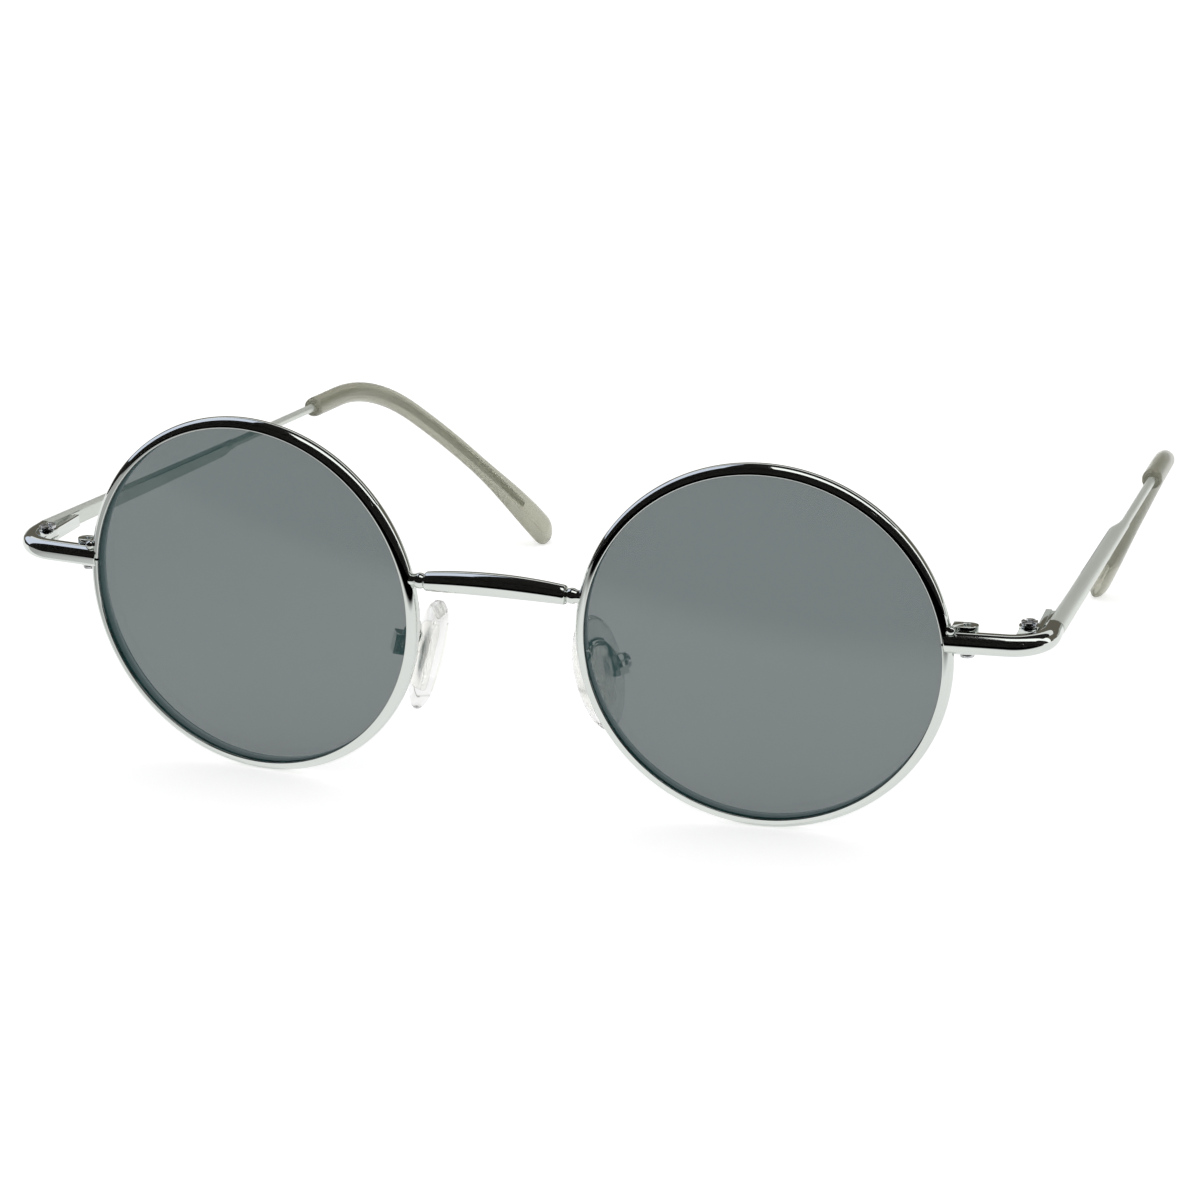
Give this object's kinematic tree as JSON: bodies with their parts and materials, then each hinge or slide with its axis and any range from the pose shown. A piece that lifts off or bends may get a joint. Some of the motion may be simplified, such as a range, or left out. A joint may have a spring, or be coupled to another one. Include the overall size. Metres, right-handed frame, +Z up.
{
  "type": "round sunglasses",
  "caption": "Round sunglasses with a bright metal frame, grey lenses, folding temples with curved plastic ear sleeves, and clear nose pads.",
  "frame": {"origin": "centre of the underside of the bounding box, with the temples open, the rims and the ear ends standing on one floor", "axes": "+X to the side of the right temple as seen in the picture, +Y from the lenses to the ear ends, +Z up"},
  "size_m": [0.1304, 0.1314, 0.0441],
  "materials": {
    "chrome": "polished plating",
    "steel": "turned steel screws",
    "satin_metal": "satin, brighter at its edges",
    "lens": "neutral grey tint, smooth",
    "sleeve": "smoky see-through plastic",
    "silicone": "clear soft plastic",
    "core": "clear hard plastic"
  },
  "bodies": {
    "front": {"rim_right": "chrome", "rim_left": "chrome", "lens_right": "lens", "lens_left": "lens", "bridge": "chrome", "end_piece_right": "chrome", "end_piece_left": "chrome", "closing_block_upper_right": "chrome", "closing_block_upper_left": "chrome", "closing_block_lower_right": "chrome", "closing_block_lower_left": "chrome", "closing_screw_right": "steel", "closing_screw_left": "steel", "front_hinge_right": "chrome", "front_hinge_left": "chrome", "hinge_screw_right": "steel", "hinge_screw_left": "steel", "pad_arm_right": "chrome", "pad_arm_left": "chrome", "pad_box_right": "chrome", "pad_box_left": "chrome", "pad_screw_right": "steel", "pad_screw_left": "steel"},
    "temple_arm_right": {"temple_right": "satin_metal", "temple_hinge_right": "chrome", "ear_sleeve_right": "sleeve"},
    "pad_right": {"nose_pad_right": "silicone", "pad_core_right": "core"},
    "temple_arm_left": {"temple_left": "satin_metal", "temple_hinge_left": "chrome", "ear_sleeve_left": "sleeve"},
    "pad_left": {"nose_pad_left": "silicone", "pad_core_left": "core"}
  },
  "joints": [
    {"name": "temple_fold_right", "type": "hinge", "parent": "front", "child": "temple_arm_right", "pos_m": [0.06178, -0.05599, 0.02491], "axis": [0, -0.1102, 0.9939], "range_deg": [0, 84]},
    {"name": "temple_fold_left", "type": "hinge", "parent": "front", "child": "temple_arm_left", "pos_m": [-0.06178, -0.05599, 0.02491], "axis": [0, 0.1102, -0.9939], "range_deg": [0, 78]},
    {"name": "pad_rock_right", "type": "hinge", "parent": "front", "child": "pad_right", "pos_m": [0.01317, -0.05974, 0.01762], "axis": [0.5, 0.8607, 0.0955], "range_deg": [-8, 8]},
    {"name": "pad_rock_left", "type": "hinge", "parent": "front", "child": "pad_left", "pos_m": [-0.01317, -0.05974, 0.01762], "axis": [-0.5, 0.8607, 0.0955], "range_deg": [-8, 8]}
  ]
}
